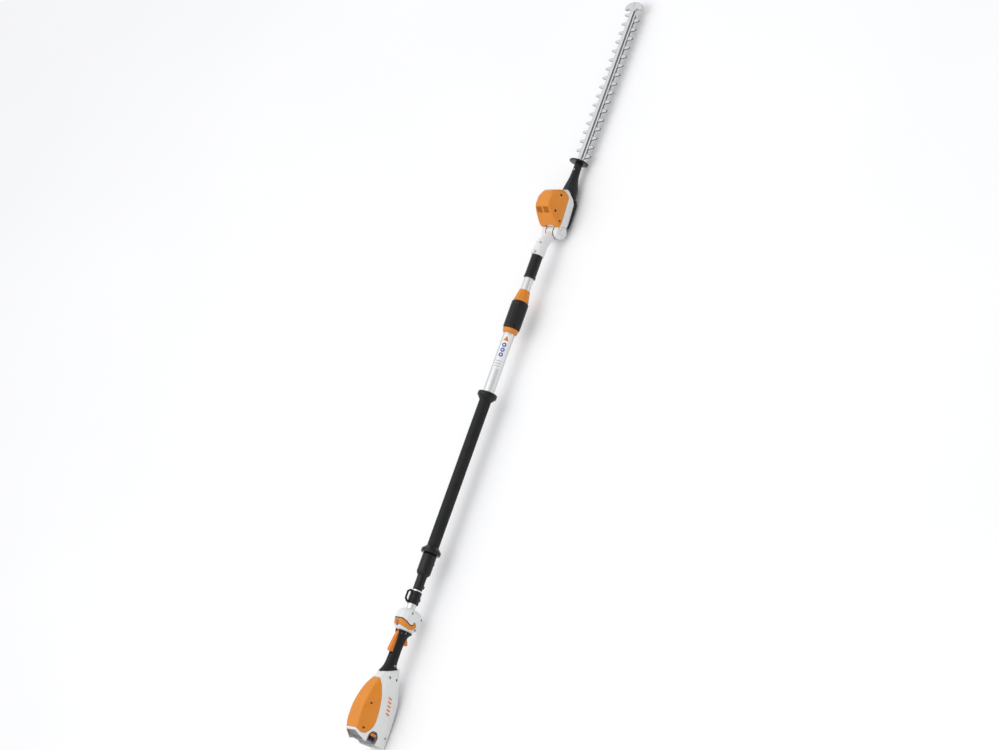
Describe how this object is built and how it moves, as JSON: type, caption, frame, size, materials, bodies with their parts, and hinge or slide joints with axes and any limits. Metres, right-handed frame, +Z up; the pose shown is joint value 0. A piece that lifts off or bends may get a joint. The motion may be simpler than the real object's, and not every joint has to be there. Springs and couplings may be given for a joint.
{
  "type": "pole hedge trimmer",
  "caption": "Cordless long-reach hedge trimmer: battery housing and rear handle, telescopic shaft with hose grip, swivelling motor head and double-sided reciprocating blade.",
  "frame": {"origin": "bottom centre of the whole tool as it lies on the ground, shaft pushed in, blade straight", "axes": "+X along the shaft towards the blade tip, +Y to the tool's left, +Z up, towards the top of the motor head"},
  "size_m": [2.605, 0.09, 0.1394],
  "materials": {
    "white_housing": "fine-grained white moulded plastic",
    "orange_cover": "fine-grained orange moulded plastic",
    "orange_button": "smooth orange moulded plastic",
    "black_plastic": "black glass-filled plastic",
    "black_grip": "black textured soft grip",
    "battery_plastic": "dark grey moulded plastic",
    "circuit_board": "coated circuit board",
    "cell_steel": "shrink-wrapped cells",
    "zinc_steel": "zinc-plated steel",
    "spring_steel": "oiled spring steel",
    "tube_aluminium": "drawn and anodised aluminium tube",
    "hose_rubber": "black ribbed rubber hose",
    "lead_sheath": "black lead sheath",
    "guide_plastic": "natural slide bush plastic",
    "gear_metal": "die-cast plate",
    "motor_steel": "laminated motor steel",
    "bearing_steel": "ground bearing rings",
    "gear_steel": "hardened gear steel",
    "bar_aluminium": "drawn aluminium guide bar",
    "blade_steel": "ground blade steel",
    "guard_metal": "cast tip guard"
  },
  "bodies": {
    "shaft": {"housing_left": "white_housing", "housing_right": "white_housing", "housing_hood": "orange_cover", "shell_screws": "zinc_steel", "battery_bay_frame": "black_plastic", "terminal_block": "black_plastic", "control_electronics": "circuit_board", "handle_left": "black_grip", "handle_right": "black_grip", "lever_pins": "zinc_steel", "lever_springs": "spring_steel", "control_left": "white_housing", "control_right": "white_housing", "control_trim": "orange_cover", "rear_tube": "tube_aluminium", "harness_clamp": "black_plastic", "harness_screws": "zinc_steel", "tube_sleeve": "black_plastic", "tube_bush": "black_plastic", "lower_collar": "black_plastic", "hose_grip": "hose_rubber", "upper_collar": "black_plastic", "outer_tube": "tube_aluminium", "clamp_ring": "orange_cover", "clamp_collet": "black_plastic", "curly_lead": "lead_sheath"},
    "battery": {"battery_case": "battery_plastic", "battery_cells": "cell_steel", "battery_latch_pins": "zinc_steel"},
    "battery_lever_left": {"battery_latch_left": "orange_button"},
    "battery_lever_right": {"battery_latch_right": "orange_button"},
    "trigger": {"trigger": "orange_button"},
    "lockout_lever": {"lockout_lever": "orange_button"},
    "retaining_latch": {"retaining_latch": "orange_button"},
    "clamp_nut": {"clamp_grip": "black_plastic", "clamp_cone": "orange_cover"},
    "inner_shaft": {"inner_tube": "tube_aluminium", "guide_bush": "guide_plastic", "front_sleeve": "black_plastic", "swivel_arm": "white_housing", "arm_screws": "zinc_steel"},
    "cutter_head": {"pivot_pin": "zinc_steel", "pivot_caps": "black_plastic", "motor_housing": "white_housing", "motor_hood": "orange_cover", "head_screws": "zinc_steel", "gear_cover": "black_plastic", "gear_plate": "gear_metal", "motor_stator": "motor_steel", "head_bearings": "bearing_steel", "nose_housing": "black_plastic", "blade_disc": "black_plastic", "guide_bar": "bar_aluminium", "blade_bolts": "zinc_steel", "tip_guard": "guard_metal"},
    "lock_button": {"lock_button": "black_plastic"},
    "rotor": {"motor_rotor": "motor_steel"},
    "crank": {"crank_gear": "gear_steel"},
    "upper_blade": {"blade_upper": "blade_steel"},
    "lower_blade": {"blade_lower": "blade_steel"}
  },
  "joints": [
    {"name": "battery_slide", "type": "slide", "parent": "shaft", "child": "battery", "axis": [-1, 0, 0], "range_m": [0, 0.16]},
    {"name": "battery_lever_left_press", "type": "hinge", "parent": "battery", "child": "battery_lever_left", "pos_m": [-1.2675, 0.037, 0.071], "axis": [0, 0, 1], "range_deg": [0, 7], "stiffness_Nm_per_rad": 0.4},
    {"name": "battery_lever_right_press", "type": "hinge", "parent": "battery", "child": "battery_lever_right", "pos_m": [-1.2675, -0.037, 0.071], "axis": [0, 0, -1], "range_deg": [0, 7], "stiffness_Nm_per_rad": 0.4},
    {"name": "trigger_pull", "type": "hinge", "parent": "shaft", "child": "trigger", "pos_m": [-0.9425, 0, 0.057], "axis": [0, 1, 0], "range_deg": [0, 12], "stiffness_Nm_per_rad": 0.5, "springref_deg": -5.73},
    {"name": "lockout_press", "type": "hinge", "parent": "shaft", "child": "lockout_lever", "pos_m": [-0.9405, 0, 0.08], "axis": [0, -1, 0], "range_deg": [0, 7], "stiffness_Nm_per_rad": 0.6, "springref_deg": -8.59},
    {"name": "retaining_latch_slide", "type": "slide", "parent": "shaft", "child": "retaining_latch", "axis": [1, 0, 0], "range_m": [0, 0.007], "stiffness_N_per_m": 200},
    {"name": "clamp_twist", "type": "hinge", "parent": "shaft", "child": "clamp_nut", "pos_m": [0.1475, 0, 0.068], "axis": [1, 0, 0], "range_deg": [0, 120]},
    {"name": "telescope", "type": "slide", "parent": "shaft", "child": "inner_shaft", "axis": [1, 0, 0], "range_m": [0, 0.65], "deforming": ["curly_lead"]},
    {"name": "head_swivel", "type": "hinge", "parent": "inner_shaft", "child": "cutter_head", "pos_m": [0.4675, 0, 0.035], "axis": [0, -1, 0], "range_deg": [-70, 45]},
    {"name": "lock_button_press", "type": "slide", "parent": "cutter_head", "child": "lock_button", "axis": [0, 1, 0], "range_m": [0, 0.005], "stiffness_N_per_m": 600, "springref_m": -0.002},
    {"name": "crank_spin", "type": "hinge", "parent": "cutter_head", "child": "crank", "pos_m": [0.5643, 0, 0.047], "axis": [0, 0, 1], "continuous": true},
    {"name": "rotor_spin", "type": "hinge", "parent": "cutter_head", "child": "rotor", "pos_m": [0.5335, 0, 0.047], "axis": [0, 0, 1], "continuous": true},
    {"name": "upper_blade_stroke", "type": "slide", "parent": "cutter_head", "child": "upper_blade", "axis": [1, 0, 0], "range_m": [-0.008, 0.008]},
    {"name": "lower_blade_stroke", "type": "slide", "parent": "cutter_head", "child": "lower_blade", "axis": [1, 0, 0], "range_m": [-0.008, 0.008]}
  ],
  "couplings": [
    {"joint": "rotor_spin", "follows": "crank_spin", "ratio": -3},
    {"joint": "lower_blade_stroke", "follows": "upper_blade_stroke", "ratio": -1}
  ]
}
